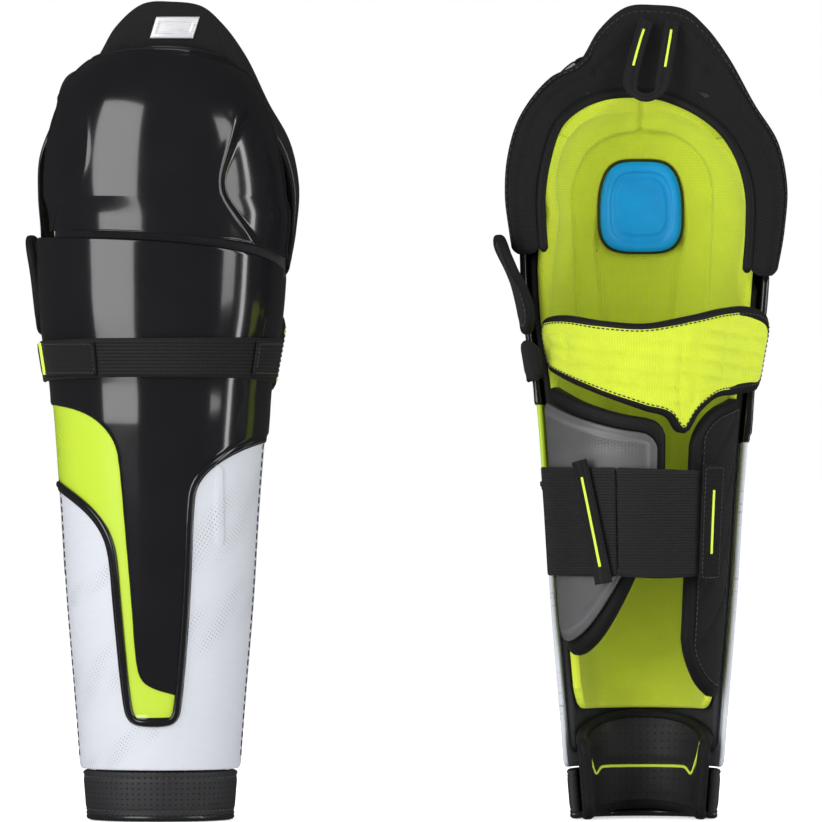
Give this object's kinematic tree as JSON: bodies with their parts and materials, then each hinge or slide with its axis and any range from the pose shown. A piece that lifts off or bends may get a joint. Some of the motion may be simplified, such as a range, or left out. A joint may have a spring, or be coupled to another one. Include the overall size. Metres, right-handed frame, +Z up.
{
  "type": "hockey shin guards",
  "caption": "Pair of hockey shin guards with domed knee cups, moulded shin shells, padded liners, a calf plate and hook-and-loop straps, set out upright side by side.",
  "frame": {"origin": "centre of the pair on the surface it stands on, at the middle of its bounding box", "axes": "+Z up along the shin; +X towards the guard for the left leg; the right guard faces -Y and the left guard faces +Y"},
  "size_m": [0.4589, 0.138, 0.49],
  "materials": {
    "black_shell": "high-gloss moulded shell",
    "white_shell": "printed satin-gloss side panel of the shell",
    "lime_shell": "gloss inlay of the shell",
    "black_fabric": "woven textile over foam",
    "black_webbing": "woven webbing and elastic",
    "lime_fabric": "brushed mesh liner and stretch wrap",
    "lime_trim": "piping, stitching and labels",
    "blue_gel": "satin gel pad",
    "grey_plate": "satin moulded plate",
    "dark_foam": "closed-cell foam",
    "silver_badge": "raised moulded badge"
  },
  "bodies": {
    "shins": {"right_shin_cap": "black_shell", "right_shin_foam": "dark_foam", "right_shin_liner": "lime_fabric", "right_ankle_liner": "black_fabric", "right_ankle_band": "black_fabric", "right_side_flap": "black_fabric", "right_front_strap_anchor": "black_fabric", "left_shin_cap": "black_shell", "left_shin_foam": "dark_foam", "left_shin_liner": "lime_fabric", "left_ankle_liner": "black_fabric", "left_ankle_band": "black_fabric", "left_side_flap": "black_fabric", "left_front_strap_anchor": "black_fabric"},
    "right_knee_body": {"right_knee_cap": "black_shell", "right_knee_foam": "dark_foam", "right_knee_liner": "lime_fabric", "right_knee_gel": "blue_gel", "right_knee_piping": "black_fabric", "right_knee_wing_medial": "black_fabric", "right_knee_wing_lateral": "black_fabric"},
    "right_thigh_body": {"right_thigh_pad": "black_fabric", "right_thigh_lining": "black_fabric", "right_thigh_badge": "silver_badge"},
    "right_loop_body": {"right_pull_loop": "black_webbing"},
    "right_front_strap_body": {"right_front_strap": "black_webbing", "right_front_strap_patch": "black_webbing", "right_front_strap_tab": "black_webbing"},
    "right_medial_wrap_body": {"right_medial_wrap": "black_fabric", "right_medial_hook_patch": "black_webbing"},
    "right_upper_wrap_body": {"right_upper_calf_wrap": "lime_fabric"},
    "right_calf_wrap_body": {"right_calf_wrap": "black_fabric", "right_calf_guard": "grey_plate", "right_rear_strap_base": "black_webbing", "right_strap_keeper": "black_webbing"},
    "right_rear_strap_body": {"right_rear_strap": "black_webbing", "right_rear_strap_tab": "black_webbing"},
    "left_knee_body": {"left_knee_cap": "black_shell", "left_knee_foam": "dark_foam", "left_knee_liner": "lime_fabric", "left_knee_gel": "blue_gel", "left_knee_piping": "black_fabric", "left_knee_wing_medial": "black_fabric", "left_knee_wing_lateral": "black_fabric"},
    "left_thigh_body": {"left_thigh_pad": "black_fabric", "left_thigh_lining": "black_fabric", "left_thigh_badge": "silver_badge"},
    "left_loop_body": {"left_pull_loop": "black_webbing"},
    "left_front_strap_body": {"left_front_strap": "black_webbing", "left_front_strap_patch": "black_webbing", "left_front_strap_tab": "black_webbing"},
    "left_medial_wrap_body": {"left_medial_wrap": "black_fabric", "left_medial_hook_patch": "black_webbing"},
    "left_upper_wrap_body": {"left_upper_calf_wrap": "lime_fabric"},
    "left_calf_wrap_body": {"left_calf_wrap": "black_fabric", "left_calf_guard": "grey_plate", "left_rear_strap_base": "black_webbing", "left_strap_keeper": "black_webbing"},
    "left_rear_strap_body": {"left_rear_strap": "black_webbing", "left_rear_strap_tab": "black_webbing"}
  },
  "joints": [
    {"name": "right_knee_flex", "type": "hinge", "parent": "shins", "child": "right_knee_body", "pos_m": [-0.139, -0.01, 0.345], "axis": [-1, 0, 0], "range_deg": [0, 12], "stiffness_Nm_per_rad": 2},
    {"name": "right_thigh_flex", "type": "hinge", "parent": "right_knee_body", "child": "right_thigh_body", "pos_m": [-0.139, -0.01, 0.446], "axis": [-1, 0, 0], "range_deg": [0, 35], "stiffness_Nm_per_rad": 0.5},
    {"name": "right_pull_loop_swing", "type": "hinge", "parent": "right_thigh_body", "child": "right_loop_body", "pos_m": [-0.139, -0.009, 0.478], "axis": [1, 0, 0], "range_deg": [0, 100]},
    {"name": "right_front_strap_open", "type": "hinge", "parent": "shins", "child": "right_front_strap_body", "pos_m": [-0.21618, 0, 0.275], "axis": [0, 0, -1], "range_deg": [0, 75]},
    {"name": "right_medial_wrap_open", "type": "hinge", "parent": "shins", "child": "right_medial_wrap_body", "pos_m": [-0.09082, 0, 0.25], "axis": [0, 0, -1], "range_deg": [0, 42]},
    {"name": "right_upper_wrap_open", "type": "hinge", "parent": "shins", "child": "right_upper_wrap_body", "pos_m": [-0.084, 0, 0.3], "axis": [0, 0, -1], "range_deg": [0, 90]},
    {"name": "right_calf_wrap_open", "type": "hinge", "parent": "shins", "child": "right_calf_wrap_body", "pos_m": [-0.196, 0, 0.2], "axis": [0, 0, 1], "range_deg": [0, 50]},
    {"name": "right_rear_strap_open", "type": "hinge", "parent": "right_calf_wrap_body", "child": "right_rear_strap_body", "pos_m": [-0.16281, 0.05976, 0.18], "axis": [0, 0, 1], "range_deg": [0, 110]},
    {"name": "left_knee_flex", "type": "hinge", "parent": "shins", "child": "left_knee_body", "pos_m": [0.151, 0.01, 0.345], "axis": [1, 0, 0], "range_deg": [0, 12], "stiffness_Nm_per_rad": 2},
    {"name": "left_thigh_flex", "type": "hinge", "parent": "left_knee_body", "child": "left_thigh_body", "pos_m": [0.151, 0.01, 0.446], "axis": [1, 0, 0], "range_deg": [0, 35], "stiffness_Nm_per_rad": 0.5},
    {"name": "left_pull_loop_swing", "type": "hinge", "parent": "left_thigh_body", "child": "left_loop_body", "pos_m": [0.151, 0.009, 0.478], "axis": [-1, 0, 0], "range_deg": [0, 100]},
    {"name": "left_front_strap_open", "type": "hinge", "parent": "shins", "child": "left_front_strap_body", "pos_m": [0.07382, 0, 0.275], "axis": [0, 0, 1], "range_deg": [0, 75]},
    {"name": "left_medial_wrap_open", "type": "hinge", "parent": "shins", "child": "left_medial_wrap_body", "pos_m": [0.19918, 0, 0.25], "axis": [0, 0, 1], "range_deg": [0, 42]},
    {"name": "left_upper_wrap_open", "type": "hinge", "parent": "shins", "child": "left_upper_wrap_body", "pos_m": [0.206, 0, 0.3], "axis": [0, 0, 1], "range_deg": [0, 90]},
    {"name": "left_calf_wrap_open", "type": "hinge", "parent": "shins", "child": "left_calf_wrap_body", "pos_m": [0.094, 0, 0.2], "axis": [0, 0, -1], "range_deg": [0, 50]},
    {"name": "left_rear_strap_open", "type": "hinge", "parent": "left_calf_wrap_body", "child": "left_rear_strap_body", "pos_m": [0.12719, -0.05976, 0.18], "axis": [0, 0, -1], "range_deg": [0, 110]}
  ],
  "couplings": [
    {"joint": "right_medial_wrap_open", "follows": "right_rear_strap_open", "ratio": 0.38},
    {"joint": "left_medial_wrap_open", "follows": "left_rear_strap_open", "ratio": 0.38}
  ]
}
